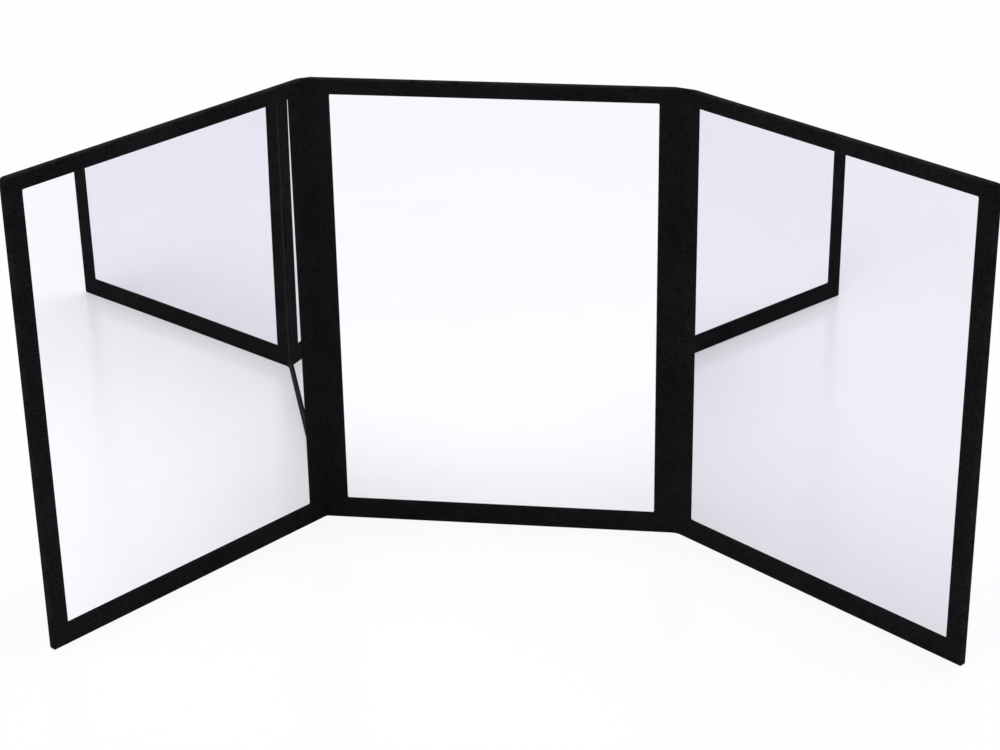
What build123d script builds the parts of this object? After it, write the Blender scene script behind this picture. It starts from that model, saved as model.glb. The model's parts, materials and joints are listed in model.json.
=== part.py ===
from build123d import *
import os

# Tri-fold table mirror: three thin mirror panels in a black leatherette case,
# joined by two soft spines so that the wings fold shut over the centre panel.
# The left wing folds in first and the right wing closes over it.
# Millimetres. Origin at the middle of the centre panel's standing edge,
# +X to the right seen from the mirror side, +Y to the back, +Z up.

# Panel outline
PANEL_WIDTH = 145.5
PANEL_HEIGHT = 200.0
CORNER_RADIUS = 2.0  # free corners of the wings

# Borders of the black frame round each mirror window
BORDER_TOP = 6.5
BORDER_BOTTOM = 9.5
BORDER_FREE_SIDE = 8.2  # wing, away from its spine
WINDOW_CORNER_RADIUS = 0.6

# Borders beside the spines, narrower at the wider right spine so that both black bands look alike
BORDER_LEFT_WING = 6.5
BORDER_CENTRE_LEFT = 7.2
BORDER_CENTRE_RIGHT = 5.5
BORDER_RIGHT_WING = 3.2

# Layers of a panel, from the mirror side to the back
FRAME_SKIN = 0.5
MIRROR_THICKNESS = 1.0
TAPE_THICKNESS = 0.2
BOARD_THICKNESS = 0.8
COVER_SKIN = 0.5

# How the layers sit in one another
COVER_WALL = 0.5  # cover turned up round the panel's edge
MIRROR_LAP = 1.4  # frame over the rim of the mirror
CARD_CLEARANCE = 0.2  # spacer card round the mirror
WALL_CLEARANCE = 0.1  # board and card inside the cover
TAPE_INSET = 4.0  # tape stops short of the mirror's edge

# Softened edges of the leatherette
BACK_EDGE_RADIUS = 0.8
FRAME_EDGE_RADIUS = 0.25

# Soft spines: an outer cover bonded to an inner lining
SPINE_COVER_THICKNESS = 0.5
SPINE_LINING_THICKNESS = 0.5
FOLD_CLEARANCE = 0.2  # rounded spine edge to the panel's edge
STACK_CLEARANCE = 0.3  # between panels when folded shut

# Fold of each wing from flat, as it stands
LEFT_FOLD = 54.0
RIGHT_FOLD = 39.0

# Depths through a panel, front negative
PANEL_THICKNESS = FRAME_SKIN + MIRROR_THICKNESS + TAPE_THICKNESS + BOARD_THICKNESS + COVER_SKIN
FRONT = -PANEL_THICKNESS / 2
BACK = PANEL_THICKNESS / 2
FRAME_BACK = FRONT + FRAME_SKIN
MIRROR_BACK = FRAME_BACK + MIRROR_THICKNESS
BOARD_FRONT = MIRROR_BACK + TAPE_THICKNESS
BOARD_BACK = BOARD_FRONT + BOARD_THICKNESS

# Fold lines lie between a spine's cover and lining, just outside the panel's edge
FOLD_DEPTH = BACK - SPINE_COVER_THICKNESS
FOLD_OFFSET = max(SPINE_COVER_THICKNESS, SPINE_LINING_THICKNESS) + FOLD_CLEARANCE

# Between its two fold lines the left spine spans two panels and the right spine three
LEFT_SPAN = 2 * PANEL_THICKNESS + STACK_CLEARANCE - 2 * SPINE_COVER_THICKNESS
RIGHT_SPAN = 3 * PANEL_THICKNESS + 2 * STACK_CLEARANCE - 2 * SPINE_COVER_THICKNESS


def plate(shape, front, back):
    """Extrude an upright outline (x across, y up) between two depths."""
    return extrude(Plane.XZ.offset(-back) * shape, back - front)


def outline(rounded, inset=0.0):
    """Panel outline drawn in by inset; rounded is -1, 0 or 1 for the side with free corners."""
    shape = Pos(0, PANEL_HEIGHT / 2) * Rectangle(PANEL_WIDTH - 2 * inset, PANEL_HEIGHT - 2 * inset)
    radius = CORNER_RADIUS - inset
    if rounded and radius > 0:
        corners = shape.vertices().filter_by(lambda v: v.X * rounded > 0)
        shape = fillet(corners, radius)
    return shape


def opening(left_border, right_border, grow=0.0, radius=0.0):
    """Window outline, grown all round for what sits behind or round it."""
    width = PANEL_WIDTH - left_border - right_border + 2 * grow
    height = PANEL_HEIGHT - BORDER_TOP - BORDER_BOTTOM + 2 * grow
    middle = ((left_border - right_border) / 2, PANEL_HEIGHT / 2 + (BORDER_BOTTOM - BORDER_TOP) / 2)
    if radius > 0:
        return Pos(*middle) * RectangleRounded(width, height, radius)
    return Pos(*middle) * Rectangle(width, height)


def back_cover(rounded):
    """Leatherette back, turned up round the panel's edge as a shallow tray."""
    tray = plate(outline(rounded), FRAME_BACK, BACK)
    tray = fillet(tray.faces().sort_by(Axis.Y)[-1].edges(), BACK_EDGE_RADIUS)
    return tray - plate(outline(rounded, COVER_WALL), FRAME_BACK, BOARD_BACK)


def front_frame(rounded, window):
    """Leatherette frame with its window, edges softened on the mirror side."""
    frame = plate(outline(rounded) - window, FRONT, FRAME_BACK)
    return fillet(frame.faces().sort_by(Axis.Y)[0].edges(), FRAME_EDGE_RADIUS)


def panel(rounded, left_border, right_border):
    """All layers of one panel, in a frame at the middle of its standing edge."""
    window = opening(left_border, right_border, radius=WINDOW_CORNER_RADIUS)
    mirror_sheet = opening(left_border, right_border, MIRROR_LAP)
    card_hole = opening(left_border, right_border, MIRROR_LAP + CARD_CLEARANCE)
    tape = opening(left_border, right_border, MIRROR_LAP - TAPE_INSET)
    inner = outline(rounded, COVER_WALL + WALL_CLEARANCE)
    return {
        "back_cover": back_cover(rounded),
        "stiffener_board": plate(inner, BOARD_FRONT, BOARD_BACK),
        "mirror_tape": plate(tape, MIRROR_BACK, BOARD_FRONT),
        "mirror": plate(mirror_sheet, FRAME_BACK, MIRROR_BACK),
        "spacer_card": plate(inner - card_hole, FRAME_BACK, BOARD_FRONT),
        "front_frame": front_frame(rounded, window),
    }


def spine(span):
    """Cover and lining of one spine, flat, from its first fold line at the origin towards +X."""

    def strip(thickness, side):
        rounded = Pos(span / 2, 0) * SlotCenterToCenter(span, 2 * thickness)
        half = Pos(span / 2, side * thickness / 2) * Rectangle(span + 2 * thickness, thickness)
        return extrude(rounded & half, PANEL_HEIGHT)

    return {
        "spine_cover": strip(SPINE_COVER_THICKNESS, 1),
        "spine_lining": strip(SPINE_LINING_THICKNESS, -1),
    }


def spine_place(side, fold):
    """Spine turned through half of the fold about the centre panel's fold line."""
    line = Pos(side * (PANEL_WIDTH / 2 + FOLD_OFFSET), FOLD_DEPTH, 0)
    return line * Rot(0, 0, -side * fold / 2)


def wing_place(side, fold, span):
    """Wing turned through the other half of the fold about the spine's far fold line."""
    hinge = spine_place(side, fold) * Pos(side * span, 0, 0) * Rot(0, 0, -side * fold / 2)
    return hinge * Pos(side * (FOLD_OFFSET + PANEL_WIDTH / 2), -FOLD_DEPTH, 0)


nodes = {}

for piece, solid in panel(0, BORDER_CENTRE_LEFT, BORDER_CENTRE_RIGHT).items():
    nodes["centre_" + piece] = solid

left_place = wing_place(-1, LEFT_FOLD, LEFT_SPAN)
for piece, solid in panel(-1, BORDER_FREE_SIDE, BORDER_LEFT_WING).items():
    nodes["left_" + piece] = left_place * solid

right_place = wing_place(1, RIGHT_FOLD, RIGHT_SPAN)
for piece, solid in panel(1, BORDER_RIGHT_WING, BORDER_FREE_SIDE).items():
    nodes["right_" + piece] = right_place * solid

for piece, solid in spine(LEFT_SPAN).items():
    nodes["left_" + piece] = spine_place(-1, LEFT_FOLD) * mirror(solid, Plane.YZ)

for piece, solid in spine(RIGHT_SPAN).items():
    nodes["right_" + piece] = spine_place(1, RIGHT_FOLD) * solid

os.makedirs("parts", exist_ok=True)
for name, solid in nodes.items():
    solid.label = name
    export_step(solid, os.path.join("parts", name + ".step"))
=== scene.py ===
import json
import math

import bmesh
import bpy
from mathutils import Matrix, Vector


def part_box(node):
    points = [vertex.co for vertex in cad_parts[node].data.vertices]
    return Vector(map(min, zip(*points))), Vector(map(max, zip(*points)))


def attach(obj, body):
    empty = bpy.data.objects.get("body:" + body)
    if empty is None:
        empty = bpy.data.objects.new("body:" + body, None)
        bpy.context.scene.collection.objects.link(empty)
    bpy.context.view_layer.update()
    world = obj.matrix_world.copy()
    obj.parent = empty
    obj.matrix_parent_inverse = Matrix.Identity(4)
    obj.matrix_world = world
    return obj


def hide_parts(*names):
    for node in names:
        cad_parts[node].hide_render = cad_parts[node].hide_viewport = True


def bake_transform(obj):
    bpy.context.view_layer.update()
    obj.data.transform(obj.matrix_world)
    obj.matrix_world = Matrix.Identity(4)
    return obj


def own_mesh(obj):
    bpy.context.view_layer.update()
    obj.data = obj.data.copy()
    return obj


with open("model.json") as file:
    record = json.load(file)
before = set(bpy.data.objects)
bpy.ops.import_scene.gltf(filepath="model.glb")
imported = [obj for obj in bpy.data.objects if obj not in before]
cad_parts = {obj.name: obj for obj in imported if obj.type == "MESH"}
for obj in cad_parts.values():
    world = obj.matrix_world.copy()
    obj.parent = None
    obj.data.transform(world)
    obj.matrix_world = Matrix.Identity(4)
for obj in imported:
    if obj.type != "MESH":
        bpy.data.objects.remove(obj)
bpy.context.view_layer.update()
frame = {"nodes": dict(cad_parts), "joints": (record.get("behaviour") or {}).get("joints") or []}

# Camera: stands in front, a little to the right and above, and looks down into the open mirror.
# The lens and the place come from fitting the panels' corners and their reflections.
SENSOR_WIDTH = 36.0
LENS = 88.5422
CAMERA_PLACE = (0.127488, -0.922738, 0.518882)
CAMERA_ANGLES = (64.31258, 0.86433, 7.34421)
NEAREST_SEEN = 0.02
FARTHEST_SEEN = 60.0

camera = bpy.data.objects.new("camera", bpy.data.cameras.new("camera"))
bpy.context.scene.collection.objects.link(camera)
camera.data.sensor_width = SENSOR_WIDTH
camera.data.lens = LENS
camera.data.clip_start = NEAREST_SEEN
camera.data.clip_end = FARTHEST_SEEN
camera.location = CAMERA_PLACE
camera.rotation_euler = [math.radians(angle) for angle in CAMERA_ANGLES]
bpy.context.scene.camera = camera
bpy.context.scene.view_settings.view_transform = "Standard"

# Floor and light: a pale table top with a slight sheen that runs out to a white surround.
# Two broad soft lamps, behind on the right and in front on the left, leave the shade a soft lavender.
# The camera sees the floor nearly white; in the mirrors more of its shade is left.
WHITE = (1, 1, 1, 1)
FLOOR_REACH = 12
FLOOR_COLOUR = (0.94, 0.936, 0.985, 1)
FLOOR_ROUGHNESS = 0.2
FLOOR_SHEEN = 1.0
GLOW_TO_CAMERA = 0.9
GLOW_IN_MIRRORS = 0.42
SURROUND_COLOUR = (0.87, 0.86, 1.0, 1)
SURROUND_LIGHT = 0.54
LAMP_COLOUR = (1.0, 1.0, 0.93)
LAMP_SIZE = 0.7
LEFT_LAMP_PLACE = Vector((-0.55, -0.38, 1.35))
LEFT_LAMP_WATTS = 5.5
RIGHT_LAMP_PLACE = Vector((0.40, 0.25, 1.38))
RIGHT_LAMP_WATTS = 9.5


def calculate(tree, operation, *terms):
    """The result of one sum; each term is a plain number or a node's output."""
    made = tree.nodes.new("ShaderNodeMath")
    made.operation = operation
    for term, socket in zip(terms, made.inputs):
        if isinstance(term, float):
            socket.default_value = term
        else:
            tree.links.new(term, socket)
    return made.outputs[0]


def plain_view(tree, to_camera, in_mirrors):
    """How much of the plain background shows to the camera, in a mirror or through glass.
    It is 0 for the light that falls on things."""
    rays = tree.nodes.new("ShaderNodeLightPath").outputs
    seen = calculate(tree, "MULTIPLY", rays["Is Camera Ray"], to_camera)
    mirrored = calculate(tree, "MULTIPLY", rays["Is Glossy Ray"], in_mirrors)
    through = calculate(tree, "MULTIPLY", rays["Is Transmission Ray"], in_mirrors)
    return calculate(tree, "MAXIMUM", calculate(tree, "MAXIMUM", seen, mirrored), through)


def either(tree, share, first, second):
    """The first look where share is 0 and the second where it is 1."""
    mixed = tree.nodes.new("ShaderNodeMixShader")
    tree.links.new(share, mixed.inputs["Fac"])
    tree.links.new(first.outputs[0], mixed.inputs[1])
    tree.links.new(second.outputs[0], mixed.inputs[2])
    return mixed.outputs[0]


world = bpy.data.worlds.new("surround")
bpy.context.scene.world = world
world.use_nodes = True
tree = world.node_tree
tree.nodes.clear()
falling = tree.nodes.new("ShaderNodeBackground")
falling.inputs["Color"].default_value = SURROUND_COLOUR
falling.inputs["Strength"].default_value = SURROUND_LIGHT
shown = tree.nodes.new("ShaderNodeBackground")
shown.inputs["Color"].default_value = WHITE
shown.inputs["Strength"].default_value = 1.0
surround = either(tree, plain_view(tree, 1.0, 1.0), falling, shown)
tree.links.new(surround, tree.nodes.new("ShaderNodeOutputWorld").inputs["Surface"])

lamps = [
    ("left_lamp", LEFT_LAMP_PLACE, LEFT_LAMP_WATTS),
    ("right_lamp", RIGHT_LAMP_PLACE, RIGHT_LAMP_WATTS),
]
for name, place, watts in lamps:
    lamp = bpy.data.objects.new(name, bpy.data.lights.new(name, "AREA"))
    bpy.context.scene.collection.objects.link(lamp)
    lamp.data.color = LAMP_COLOUR
    lamp.data.energy = watts
    lamp.data.size = LAMP_SIZE
    lamp.location = place
    lamp.rotation_euler = (-place).to_track_quat("-Z", "Y").to_euler()

floor_corners = [(x * FLOOR_REACH, y * FLOOR_REACH, 0) for x, y in ((-1, -1), (1, -1), (1, 1), (-1, 1))]
floor_mesh = bpy.data.meshes.new("floor")
floor_mesh.from_pydata(floor_corners, [], [(0, 1, 2, 3)])
floor = bpy.data.objects.new("floor", floor_mesh)
bpy.context.scene.collection.objects.link(floor)
floor_paint = bpy.data.materials.new("floor")
floor_paint.use_nodes = True
tree = floor_paint.node_tree
tree.nodes.clear()
table_top = tree.nodes.new("ShaderNodeBsdfPrincipled")
table_top.inputs["Base Color"].default_value = FLOOR_COLOUR
table_top.inputs["Roughness"].default_value = FLOOR_ROUGHNESS
table_top.inputs["Specular IOR Level"].default_value = FLOOR_SHEEN
glow = tree.nodes.new("ShaderNodeEmission")
glow.inputs["Color"].default_value = WHITE
glow.inputs["Strength"].default_value = 1.0
floor_look = either(tree, plain_view(tree, GLOW_TO_CAMERA, GLOW_IN_MIRRORS), table_top, glow)
tree.links.new(floor_look, tree.nodes.new("ShaderNodeOutputMaterial").inputs["Surface"])
floor_mesh.materials.append(floor_paint)

# Back covers: black leatherette drawn round each panel's edge, a woven backing with a soft grained skin.
# Each is glued flat to its board and turned up round it; beside a spine it runs on without an edge.
MM = 0.001
panel_low, panel_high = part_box("centre_front_frame")
PANEL_WIDTH = panel_high[0] - panel_low[0]
PANEL_HEIGHT = panel_high[2] - panel_low[2]
FRONT = -1.5 * MM
SEAM = -1.0 * MM  # between the front frame and the back cover
BOARD_BACK = 1.0 * MM
BACK = 1.5 * MM
COVER_WALL = 0.5 * MM
HOLLOW_CORNER_RADIUS = 0.5 * MM
UPPER_CORNER_RADIUS = 2.0 * MM
LOWER_CORNER_RADIUS = 0.9 * MM
LEAST_CORNER_RADIUS = 0.2 * MM
SQUARE_REACH = 0.8 * MM  # of a square corner's points along its two edges
CORNER_STEPS = 8
SEAM_ROLL = 0.12 * MM
SEAM_STEPS = 3
BACK_ROLL = 0.8 * MM
BACK_STEPS = 8
BACK_FLAT_INSETS = (1.6 * MM, 4 * MM)
SMOOTH_ANGLE = math.radians(40)
SEAM_RUB = 0.3
EDGE_RUB = 1.0
AT_EDGE = 0.01 * MM
PEBBLE_SIZE = 0.62 * MM
PEBBLE_SMOOTHNESS = 0.45
PEBBLE_SHAPE = [(0.08, 1.0), (0.42, 0.62), (0.75, 0.0)]
PORE_SIZE = 0.2 * MM
PORE_HEIGHT = 0.25
CREASE_SIZE = 7 * MM
CREASE_HEIGHT = 0.9
CREASE_GLOSS = 0.5
PATCH_SIZE = 45 * MM
GRAIN_STRENGTH = 0.55
GRAIN_DEPTH = 0.09 * MM
MOTTLE = [(0.34, 0.0), (0.66, 1.0)]
MOTTLE_SHARE = 0.25
CLOUDS = [(0.32, 0.0), (0.68, 1.0)]
CLOUD_SHARE = 0.35
FADE = 0.6
# Partly painted light and shade: the skin's tone runs from dark in the valleys between pebbles to light on
# their tops, over its own mottle.
SKIN_AND_GRAIN_SHADE_TONES = [
    (0.1, (0.0030, 0.0030, 0.0032)),
    (0.55, (0.0094, 0.0093, 0.0097)),
    (1.0, (0.0160, 0.0158, 0.0163)),
]
# Partly painted highlight: the rubbed edges are worn lighter, and lifted further to stand in for the rolled
# edges catching light.
WEAR = [(0.42, 0.0), (0.62, 1.0)]
WORN_AND_LIT_EDGE_TONE = (0.0150, 0.0147, 0.0145, 1)
SKIN_ROUGHNESS = [(0.1, 0.88), (1.0, 0.70)]
SKIN_SHEEN = 0.03

joints = {joint["name"]: joint for joint in frame["joints"]}


def wing_place(name, side):
    """Where a wing stands: turned about its own fold line, which lies behind its spine-side edge."""
    near, far = joints[name + "_spine_fold"], joints[name + "_wing_fold"]
    fold = math.radians(-near["range_deg"][0] - far["range_deg"][0])
    offset = abs(near["pos_m"][0]) - PANEL_WIDTH / 2
    line = Matrix.Translation((far["pos_m"][0], far["pos_m"][1], 0))
    to_middle = Matrix.Translation((side * (offset + PANEL_WIDTH / 2), -near["pos_m"][1], 0))
    return line @ Matrix.Rotation(-side * fold, 4, "Z") @ to_middle


# name, the body that carries it, where it stands, and whether its left and right edges are free
panels = [
    ("centre", "centre_panel", Matrix.Identity(4), False, False),
    ("left", "left_wing", wing_place("left", -1), True, False),
    ("right", "right_wing", wing_place("right", 1), False, True),
]


def loop_round(left, right, bottom, top, radii):
    """Points round a rectangle. A corner is an arc of its radius.
    Where that is 0 it is a square corner with as many points."""
    turns = [(right, bottom, -90), (right, top, 0), (left, top, 90), (left, bottom, 180)]
    points = []
    for (x, z, start), radius in zip(turns, radii):
        a, b = math.radians(start), math.radians(start + 90)
        out, on = Vector((math.cos(a), math.sin(a))), Vector((math.cos(b), math.sin(b)))
        corner = Vector((x, z))
        for step in range(CORNER_STEPS + 1):
            t = step / CORNER_STEPS
            if radius > 0:
                turn = a + t * (b - a)
                middle = corner - radius * out - radius * on
                points.append(middle + radius * Vector((math.cos(turn), math.sin(turn))))
            elif t < 0.5:
                points.append(corner - on * SQUARE_REACH * (1 - 2 * t))
            else:
                points.append(corner - out * SQUARE_REACH * (2 * t - 1))
    return points


def edge_loop(inset, free_left, free_right):
    """The panel's outline drawn in by inset along its free edges.
    Its edges beside a spine stay where they are, with square corners."""
    upper = max(UPPER_CORNER_RADIUS - inset, LEAST_CORNER_RADIUS)
    lower = max(LOWER_CORNER_RADIUS - inset, LEAST_CORNER_RADIUS)
    left = -PANEL_WIDTH / 2 + inset * free_left
    right = PANEL_WIDTH / 2 - inset * free_right
    radii = [lower * free_right, upper * free_right, upper * free_left, lower * free_left]
    return loop_round(left, right, inset, PANEL_HEIGHT - inset, radii)


def at_depth(points, depth):
    """A loop of points (across, up) stood at a depth through the panel."""
    return [(p.x, depth, p.y) for p in points]


def roll(radius, steps):
    """A quarter round, as (drawn in, gone down) from the side of the panel to its face."""
    turns = [math.radians(90 * step / steps) for step in range(steps + 1)]
    return [(radius * (1 - math.cos(t)), radius * math.sin(t)) for t in turns]


def rub_along(points, rub_and_lit_edge, free_left, free_right):
    """How much handling wears each point of a loop, and so how much painted highlight it gets; none where
    the skin runs on into a spine.
    """
    edge = PANEL_WIDTH / 2 - AT_EDGE
    rubs = []
    for point in points:
        runs_on = (point.x > edge and not free_right) or (point.x < -edge and not free_left)
        rubs.append(0.0 if runs_on else rub_and_lit_edge)
    return rubs


def unworn(loops):
    """No wear and no painted highlight on any point of these loops."""
    return [[0.0] * len(loop) for loop in loops]


def skin(name, loops, rubs, place, ring=False):
    """A closed mesh through loops of points.
    rubs says for each loop's points how much handling wears them, and so how much painted highlight they
    get."""
    verts = [place @ Vector(p) for loop in loops for p in loop]
    count = len(loops[0])
    faces = []
    rows = len(loops) if ring else len(loops) - 1
    for row in range(rows):
        here, there = row * count, (row + 1) % len(loops) * count
        for i in range(count):
            j = (i + 1) % count
            faces.append((here + i, here + j, there + j, there + i))
    if not ring:
        faces.append(tuple(range(count - 1, -1, -1)))
        faces.append(tuple(range((len(loops) - 1) * count, len(loops) * count)))
    mesh = bpy.data.meshes.new(name)
    mesh.from_pydata(verts, [], faces)
    shape = bmesh.new()
    shape.from_mesh(mesh)
    bmesh.ops.recalc_face_normals(shape, faces=shape.faces)
    shape.to_mesh(mesh)
    shape.free()
    rub_and_lit_edge = mesh.attributes.new("rub_and_lit_edge", "FLOAT", "POINT")
    rub_and_lit_edge.data.foreach_set("value", [value for loop in rubs for value in loop])
    mesh.shade_smooth()
    mesh.set_sharp_from_angle(angle=SMOOTH_ANGLE)
    piece = bpy.data.objects.new(name, mesh)
    bpy.context.scene.collection.objects.link(piece)
    return piece


def new_finish(name):
    """A new finish, with its node tree, its surface and the place of a point on the piece."""
    finish = bpy.data.materials.new(name)
    finish.use_nodes = True
    tree = finish.node_tree
    where = tree.nodes.new("ShaderNodeTexCoord").outputs["Object"]
    return finish, tree, tree.nodes["Principled BSDF"], where


def ramp(tree, value, stops):
    """A ramp from value through (place, grey or colour) stops."""
    made = tree.nodes.new("ShaderNodeValToRGB")
    while len(made.color_ramp.elements) < len(stops):
        made.color_ramp.elements.new(0.5)
    for element, (place, colour) in zip(made.color_ramp.elements, stops):
        element.position = place
        element.color = (colour, colour, colour, 1) if isinstance(colour, float) else (*colour, 1)
    tree.links.new(value, made.inputs["Fac"])
    return made.outputs["Color"]


def noise(tree, where, size, detail=2.0, rough=0.5, twist=0.0):
    """Noise whose marks are about size metres across."""
    made = tree.nodes.new("ShaderNodeTexNoise")
    made.inputs["Scale"].default_value = 1 / size
    made.inputs["Detail"].default_value = detail
    made.inputs["Roughness"].default_value = rough
    made.inputs["Distortion"].default_value = twist
    tree.links.new(where, made.inputs["Vector"])
    return made.outputs["Fac"]


def weigh(tree, first, second, weight):
    """first + weight * second"""
    return calculate(tree, "MULTIPLY_ADD", second, weight, first)


def emboss(tree, surface, height, strength, depth):
    """Raise the surface where height is great, by up to depth metres."""
    bump = tree.nodes.new("ShaderNodeBump")
    bump.inputs["Strength"].default_value = strength
    bump.inputs["Distance"].default_value = depth
    tree.links.new(height, bump.inputs["Height"])
    tree.links.new(bump.outputs["Normal"], surface.inputs["Normal"])


leatherette, tree, surface, where = new_finish("black_leatherette")
pebbles = tree.nodes.new("ShaderNodeTexVoronoi")
pebbles.feature = "SMOOTH_F1"
pebbles.inputs["Scale"].default_value = 1 / PEBBLE_SIZE
pebbles.inputs["Smoothness"].default_value = PEBBLE_SMOOTHNESS
tree.links.new(where, pebbles.inputs["Vector"])
pebble = ramp(tree, pebbles.outputs["Distance"], PEBBLE_SHAPE)
pores = noise(tree, where, PORE_SIZE, detail=3.0)
creases = noise(tree, where, CREASE_SIZE, detail=4.0, rough=0.6, twist=0.8)
patches = noise(tree, where, PATCH_SIZE)
grain = weigh(tree, weigh(tree, pebble, pores, PORE_HEIGHT), creases, CREASE_HEIGHT)
emboss(tree, surface, grain, GRAIN_STRENGTH, GRAIN_DEPTH)
# The raised pebbles and creases come out lighter and the hollows darker: the skin's own mottle, with painted
# light and shade on the grain.
mottled_and_grain_shaded = weigh(tree, pebble, ramp(tree, creases, MOTTLE), MOTTLE_SHARE)
clouded_and_grain_shaded = weigh(tree, mottled_and_grain_shaded, ramp(tree, patches, CLOUDS), CLOUD_SHARE)
skin_and_grain_shade_tone = ramp(tree, calculate(tree, "MULTIPLY", clouded_and_grain_shaded, FADE), SKIN_AND_GRAIN_SHADE_TONES)
# Lighter rubbed edges: wear, and a painted highlight along the rolled edges.
rubbed_and_lit_edge = tree.nodes.new("ShaderNodeAttribute")
rubbed_and_lit_edge.attribute_name = "rub_and_lit_edge"
worn_and_lit_edge = calculate(tree, "MULTIPLY", rubbed_and_lit_edge.outputs["Fac"], ramp(tree, creases, WEAR))
tone = tree.nodes.new("ShaderNodeMix")
tone.data_type = "RGBA"
tree.links.new(worn_and_lit_edge, tone.inputs["Factor"])
tree.links.new(skin_and_grain_shade_tone, tone.inputs["A"])
tone.inputs["B"].default_value = WORN_AND_LIT_EDGE_TONE
tree.links.new(tone.outputs["Result"], surface.inputs["Base Color"])
skin_gloss = weigh(tree, pebble, creases, CREASE_GLOSS)
tree.links.new(ramp(tree, skin_gloss, SKIN_ROUGHNESS), surface.inputs["Roughness"])
surface.inputs["Specular IOR Level"].default_value = SKIN_SHEEN

for name, body, place, free_left, free_right in panels:
    hollow = loop_round(-PANEL_WIDTH / 2 + COVER_WALL, PANEL_WIDTH / 2 - COVER_WALL, COVER_WALL,
                        PANEL_HEIGHT - COVER_WALL, [HOLLOW_CORNER_RADIUS] * 4)
    loops = [at_depth(hollow, BOARD_BACK), at_depth(hollow, SEAM)]
    rubs = unworn(loops)
    for inset, depth in reversed(roll(SEAM_ROLL, SEAM_STEPS)):
        edge = edge_loop(inset, free_left, free_right)
        loops.append(at_depth(edge, SEAM + SEAM_ROLL - depth))
        rubs.append(rub_along(edge, SEAM_RUB, free_left, free_right))
    for inset, depth in roll(BACK_ROLL, BACK_STEPS):
        edge = edge_loop(inset, free_left, free_right)
        loops.append(at_depth(edge, BACK - BACK_ROLL + depth))
        rubs.append(rub_along(edge, EDGE_RUB, free_left, free_right))
    flats = [at_depth(edge_loop(inset, True, True), BACK) for inset in BACK_FLAT_INSETS]
    cover = skin(name + "_case_back", loops + flats, rubs + unworn(flats), place)
    cover.data.materials.append(leatherette)
    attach(cover, body)
    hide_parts(name + "_back_cover")

# Stiffener boards: grey board cut to drop inside the turned-up cover and glued to it.
# Pressed waste paper, so it is flecked with short pale and dark fibres.
BOARD_FIBRE = 0.5 * MM
BOARD_CLOUD = 12 * MM
BOARD_CLOUD_SHARE = 0.35
BOARD_TONES = [(0.42, (0.20, 0.19, 0.175)), (0.66, (0.40, 0.385, 0.355)), (0.9, (0.55, 0.53, 0.49))]
BOARD_ROUGHNESS = 0.95
FIBRE_STRENGTH = 0.3
FIBRE_DEPTH = 0.05 * MM


def dress(node, finish):
    """Give a plain solid its finish."""
    solid = frame["nodes"][node]
    solid.data.materials.clear()
    solid.data.materials.append(finish)


greyboard, tree, surface, where = new_finish("grey_board")
fibres = noise(tree, where, BOARD_FIBRE, detail=6.0, rough=0.7, twist=2.5)
flecks = weigh(tree, fibres, noise(tree, where, BOARD_CLOUD), BOARD_CLOUD_SHARE)
tree.links.new(ramp(tree, flecks, BOARD_TONES), surface.inputs["Base Color"])
surface.inputs["Roughness"].default_value = BOARD_ROUGHNESS
emboss(tree, surface, fibres, FIBRE_STRENGTH, FIBRE_DEPTH)
for name, *_ in panels:
    dress(name + "_stiffener_board", greyboard)

# Mirror tape: double-sided film tape that bonds the mirror to its board.
# A milky film with fine streaks along the roll it came off.
STREAK_SIZE = 0.8 * MM
STREAK_STRETCH = (1, 1, 0.03)
TAPE_TONES = [(0.3, (0.74, 0.74, 0.70)), (0.7, (0.84, 0.84, 0.81))]
TAPE_ROUGHNESS = [(0.3, 0.38), (0.7, 0.5)]

tape_film, tree, surface, where = new_finish("tape_film")
stretched = tree.nodes.new("ShaderNodeMapping")
stretched.inputs["Scale"].default_value = STREAK_STRETCH
tree.links.new(where, stretched.inputs["Vector"])
streaks = noise(tree, stretched.outputs["Vector"], STREAK_SIZE, detail=3.0)
tree.links.new(ramp(tree, streaks, TAPE_TONES), surface.inputs["Base Color"])
tree.links.new(ramp(tree, streaks, TAPE_ROUGHNESS), surface.inputs["Roughness"])
for name, *_ in panels:
    dress(name + "_mirror_tape", tape_film)

# Mirrors: thin silvered sheets, one behind each window, held at the rim by the frame.
# Each is bright with a faint slow ripple and a few wiped smears. Their tones are painted shade: copies of
# one mirror, made darker and bluer, the right one most, for the shade seen in them. The left one is warped:
# towards its upper corner beside the spine it stands slightly proud.
# Painted shade: the sheets' tones are darker and bluer than a clean mirror, the right one most.
SHADED_SHEET_TONES = {
    "centre": (0.985, 0.982, 0.994),
    "left": (0.962, 0.956, 0.980),
    "right": (0.862, 0.853, 0.897),
}
SMEAR_TONE = 0.985  # of the clean sheet's
SMEAR_SIZE = 28 * MM
SMEAR_START = 0.35
SMEAR_END = 0.75
SMEAR_ROUGHNESS = [(0.5, 0.0), (0.85, 0.02)]
WIPE_TURN = (0.0, 0.5, 0.0)
WIPE_STRETCH = (0.35, 1.0, 1.6)
RIPPLE_SIZE = 120 * MM
RIPPLE_STRENGTH = 0.5
RIPPLE_DEPTH = 0.12 * MM
WARPED_SHEET = "left"
WARP_START = -PANEL_WIDTH / 2 + 38 * MM  # flat from the free edge to here
WARP_END = PANEL_WIDTH / 2 - 6.5 * MM  # the window's edge beside the spine
WARP_CURVE = 2.0
WARP_LIFT = 0.33 * MM


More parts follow.
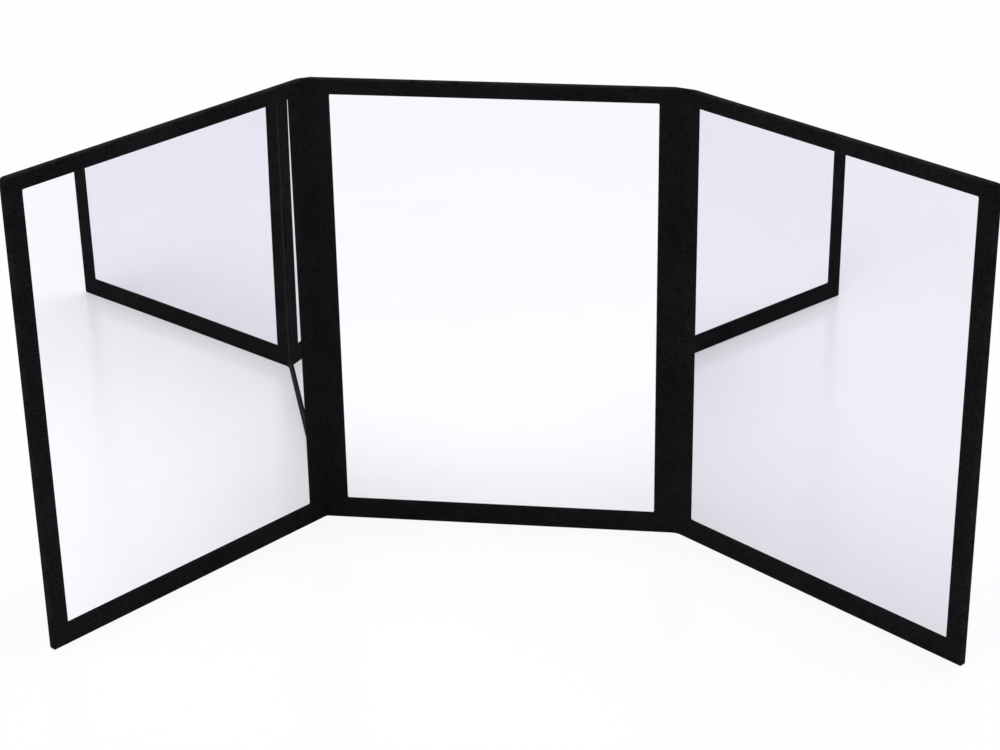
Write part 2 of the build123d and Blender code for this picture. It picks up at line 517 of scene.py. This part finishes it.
def warp(tree, where, place):
    """Rises in a curve towards a sheet's edge beside the spine, in step with the height above the table."""
    to_sheet = place.inverted()
    on_sheet = tree.nodes.new("ShaderNodeMapping")
    on_sheet.inputs["Location"].default_value = to_sheet.to_translation()
    on_sheet.inputs["Rotation"].default_value = to_sheet.to_euler()
    tree.links.new(where, on_sheet.inputs["Vector"])
    spot = tree.nodes.new("ShaderNodeSeparateXYZ")
    tree.links.new(on_sheet.outputs["Vector"], spot.inputs["Vector"])
    to_spine = tree.nodes.new("ShaderNodeMapRange")
    to_spine.inputs["From Min"].default_value = WARP_START
    to_spine.inputs["From Max"].default_value = WARP_END
    tree.links.new(spot.outputs["X"], to_spine.inputs["Value"])
    bow = calculate(tree, "POWER", to_spine.outputs["Result"], WARP_CURVE)
    return calculate(tree, "MULTIPLY", bow, spot.outputs["Z"])


for name, _, place, *_ in panels:
    silvered, tree, surface, where = new_finish(name + "_shaded_silvered_sheet")
    surface.inputs["Metallic"].default_value = 1.0
    wiped = tree.nodes.new("ShaderNodeMapping")
    wiped.inputs["Rotation"].default_value = WIPE_TURN
    wiped.inputs["Scale"].default_value = WIPE_STRETCH
    tree.links.new(where, wiped.inputs["Vector"])
    smears = noise(tree, wiped.outputs["Vector"], SMEAR_SIZE, detail=5.0, rough=0.6, twist=0.6)
    # Painted shade in the sheet's own tone.
    clean_shaded_tone = SHADED_SHEET_TONES[name]
    smeared_shaded_tone = tuple(SMEAR_TONE * part for part in clean_shaded_tone)
    shaded_sheet_tone = ramp(tree, smears, [(SMEAR_START, clean_shaded_tone), (SMEAR_END, smeared_shaded_tone)])
    tree.links.new(shaded_sheet_tone, surface.inputs["Base Color"])
    tree.links.new(ramp(tree, smears, SMEAR_ROUGHNESS), surface.inputs["Roughness"])
    height = noise(tree, where, RIPPLE_SIZE, detail=1.0)
    if name == WARPED_SHEET:
        lift = WARP_LIFT / PANEL_HEIGHT / (RIPPLE_STRENGTH * RIPPLE_DEPTH)
        height = weigh(tree, height, warp(tree, where, place), lift)
    emboss(tree, surface, height, RIPPLE_STRENGTH, RIPPLE_DEPTH)
    dress(name + "_mirror", silvered)

# Spacer cards: black card frames round each mirror, as thick as the mirror and its tape.
# They keep the front frame level, and are dyed through with a faint fibre.
CARD_FIBRE = 0.4 * MM
CARD_TONES = [(0.35, (0.010, 0.010, 0.010)), (0.7, (0.020, 0.020, 0.021))]
CARD_ROUGHNESS = 0.9

dyed_card, tree, surface, where = new_finish("dyed_card")
fibres = noise(tree, where, CARD_FIBRE, detail=5.0, rough=0.65, twist=2.0)
tree.links.new(ramp(tree, fibres, CARD_TONES), surface.inputs["Base Color"])
surface.inputs["Roughness"].default_value = CARD_ROUGHNESS
for name, *_ in panels:
    dress(name + "_spacer_card", dyed_card)

# Front frames: thin black leatherette with a window cut in it, glued over card and the mirror's rim.
# The outer edge is rolled onto the cover's edge, the bars are very slightly crowned,
# and the window's edge is turned in.
BORDER_TOP = 6.5 * MM
BORDER_BOTTOM = 9.5 * MM
SIDE_BORDERS = {"centre": (7.2 * MM, 5.5 * MM), "left": (8.2 * MM, 6.5 * MM), "right": (3.2 * MM, 8.2 * MM)}
WINDOW_CORNER_RADIUS = 0.6 * MM
FRONT_ROLL = 0.38 * MM
WINDOW_ROLL = 0.35 * MM
FRONT_STEPS = 6
CROWN = 0.05 * MM
CROWN_STEPS = 10
WINDOW_UNDERCUT = 0.05 * MM
WINDOW_LAP = 1.2 * MM
WINDOW_RUB = 0.6


def window_loop(name, grow):
    """The outline of a panel's window, grown all round."""
    left_border, right_border = SIDE_BORDERS[name]
    left = -PANEL_WIDTH / 2 + left_border - grow
    right = PANEL_WIDTH / 2 - right_border + grow
    top = PANEL_HEIGHT - BORDER_TOP + grow
    return loop_round(left, right, BORDER_BOTTOM - grow, top, [WINDOW_CORNER_RADIUS + grow] * 4)


for name, body, place, free_left, free_right in panels:
    loops, rubs = [], []
    for inset, depth in reversed(roll(SEAM_ROLL, SEAM_STEPS)):
        edge = edge_loop(inset, free_left, free_right)
        loops.append(at_depth(edge, SEAM - SEAM_ROLL + depth))
        rubs.append(rub_along(edge, SEAM_RUB, free_left, free_right))
    for inset, depth in roll(FRONT_ROLL, FRONT_STEPS)[1:]:
        edge = edge_loop(inset, free_left, free_right)
        loops.append(at_depth(edge, FRONT + FRONT_ROLL - depth))
        rubs.append(rub_along(edge, EDGE_RUB, free_left, free_right))
    outer = edge_loop(FRONT_ROLL, free_left, free_right)
    inner = window_loop(name, WINDOW_ROLL)
    for step in range(1, CROWN_STEPS):
        t = step / CROWN_STEPS
        between = [a.lerp(b, t) for a, b in zip(outer, inner)]
        loops.append(at_depth(between, FRONT - CROWN * math.sin(math.pi * t)))
        rubs.append([0.0] * len(between))
    for inset, depth in reversed(roll(WINDOW_ROLL, FRONT_STEPS)):
        loops.append(at_depth(window_loop(name, inset), FRONT + WINDOW_ROLL - depth))
        rubs.append([WINDOW_RUB] * len(inner))
    under = [at_depth(window_loop(name, grow), SEAM) for grow in (WINDOW_UNDERCUT, WINDOW_LAP)]
    front = skin(name + "_case_front", loops + under, rubs + unworn(under), place, ring=True)
    front.data.materials.append(leatherette)
    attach(front, body)
    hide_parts(name + "_front_frame")

# Spines: between the panels the case's two skins run on with no board in them, so they bend.
# The outer cover lies level with the panels' backs, in a half beside the centre panel and a half beside the
# wing.
# The inner lining bridges from face to face, in a side beside each panel and a slack middle carried by the
# spine.
SPINE_SKIN = 0.5 * MM
SPINE_STEPS = 20
COVER_STEPS = 8
LINING_SIDE = 0.58  # of the way from a panel's edge to the middle of the spine
LINING_DIP = 0.35 * MM


def back_inset(rise, fold_depth):
    """How far the cover's rolled back edge draws in at this height above the fold line."""
    up = max(rise - (BACK - BACK_ROLL - fold_depth), 0.0)
    return BACK_ROLL - math.sqrt(BACK_ROLL ** 2 - min(up, BACK_ROLL) ** 2)


def top_and_bottom(section):
    """A section's (drawn in, rise) points along the top edge, then back along the bottom edge.
    They come out as (rise, height above the table)."""
    top = [(rise, PANEL_HEIGHT - inset) for inset, rise in section]
    bottom = [(rise, inset) for inset, rise in reversed(section)]
    return top + bottom


for name, side in (("left", -1), ("right", 1)):
    near, far = joints[name + "_spine_fold"], joints[name + "_wing_fold"]
    half_fold = math.radians(-near["range_deg"][0])
    fold_depth = near["pos_m"][1]
    offset = abs(near["pos_m"][0]) - PANEL_WIDTH / 2
    span = (Vector(far["pos_m"]) - Vector(near["pos_m"])).length
    bend_radius = offset / math.tan(half_fold / 2)
    bend_length = bend_radius * half_fold
    half_length = bend_length + span / 2 - offset
    wing = wing_place(name, side)
    centre_edge = Vector((side * PANEL_WIDTH / 2, FRONT, 0))
    wing_edge = wing @ Vector((-side * PANEL_WIDTH / 2, FRONT, 0))
    lining_radius = (wing_edge - centre_edge).length / 2 / math.sin(half_fold)

    def fold_point(share, way):
        """Where the two skins meet, at a share of the way from a panel's edge to the spine's middle.
        It comes with how far the cover has turned there."""
        run = share * half_length
        turn = min(run, bend_length) / bend_radius
        straight = max(run - bend_length, 0.0)
        out = bend_radius * math.sin(turn) + straight * math.cos(turn)
        depth = fold_depth - bend_radius * (1 - math.cos(turn)) - straight * math.sin(turn)
        return Vector((way * (PANEL_WIDTH / 2 + out), depth, 0)), turn

    def lining_loop(share, way, place):
        """The lining's outline at that share of the way, from the cover to its hollow front."""
        foot, _ = fold_point(share, way)
        turn = share * half_fold
        radius = lining_radius + LINING_DIP * math.sin(math.pi * share / 2) ** 2
        arc_middle = Vector((way * PANEL_WIDTH / 2, FRONT - lining_radius, 0))
        face = arc_middle + radius * Vector((way * math.sin(turn), math.cos(turn), 0))
        up = (foot - face).normalized()
        section = []
        for inset, depth in reversed(roll(SEAM_ROLL, SEAM_STEPS)):
            rise = depth - SEAM_ROLL
            section.append((inset + back_inset(rise, fold_depth), (foot - face).length + rise))
        section += [(inset, FRONT_ROLL - depth) for inset, depth in roll(FRONT_ROLL, FRONT_STEPS)]
        return [place @ (face + up * rise + Vector((0, 0, z))) for rise, z in top_and_bottom(section)]

    cover_section = []
    for inset, depth in reversed(roll(SEAM_ROLL, SEAM_STEPS)):
        rise = SEAM_ROLL - depth
        cover_section.append((inset + back_inset(rise, fold_depth), rise))
    for step in range(1, COVER_STEPS + 1):
        rise = SEAM_ROLL + (SPINE_SKIN - SEAM_ROLL) * step / COVER_STEPS
        cover_section.append((back_inset(rise, fold_depth), rise))
    cover_outline = top_and_bottom(cover_section)

    halves = [("centre", "centre_panel", Matrix.Identity(4), side), ("wing", name + "_wing", wing, -side)]
    shares = [step / SPINE_STEPS for step in range(SPINE_STEPS + 1)]
    for half, panel_body, place, way in halves:
        cover_loops = []
        for share in shares:
            foot, turn = fold_point(share, way)
            up = Vector((way * math.sin(turn), math.cos(turn), 0))
            cover_loops.append([foot + up * rise + Vector((0, 0, z)) for rise, z in cover_outline])
        cover = skin(f"{name}_spine_cover_{half}_half", cover_loops, unworn(cover_loops), place)
        side_loops = [lining_loop(LINING_SIDE * share, way, place) for share in shares]
        lining = skin(f"{name}_spine_lining_{half}_side", side_loops, unworn(side_loops), Matrix.Identity(4))
        bend_end = Vector((way * bend_radius * math.sin(half_fold), 0, 0))
        side_end = Vector((way * lining_radius * math.sin(LINING_SIDE * half_fold), 0, 0))
        bending = [(cover, name + "_spine_cover", bend_end), (lining, name + "_spine_lining", side_end)]
        for piece, node, reach in bending:
            piece.data.materials.append(leatherette)
            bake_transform(piece)
            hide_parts(node)

    middle_loops = []
    for half, _, place, way in halves:
        loops = [lining_loop(LINING_SIDE + (1 - LINING_SIDE) * share, way, place) for share in shares]
        middle_loops += loops if half == "centre" else loops[-2::-1]
    slack = skin(name + "_spine_lining_middle", middle_loops, unworn(middle_loops), Matrix.Identity(4))
    slack.data.materials.append(leatherette)
    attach(slack, name + "_spine")
    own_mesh(slack)
    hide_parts(name + "_spine_lining")
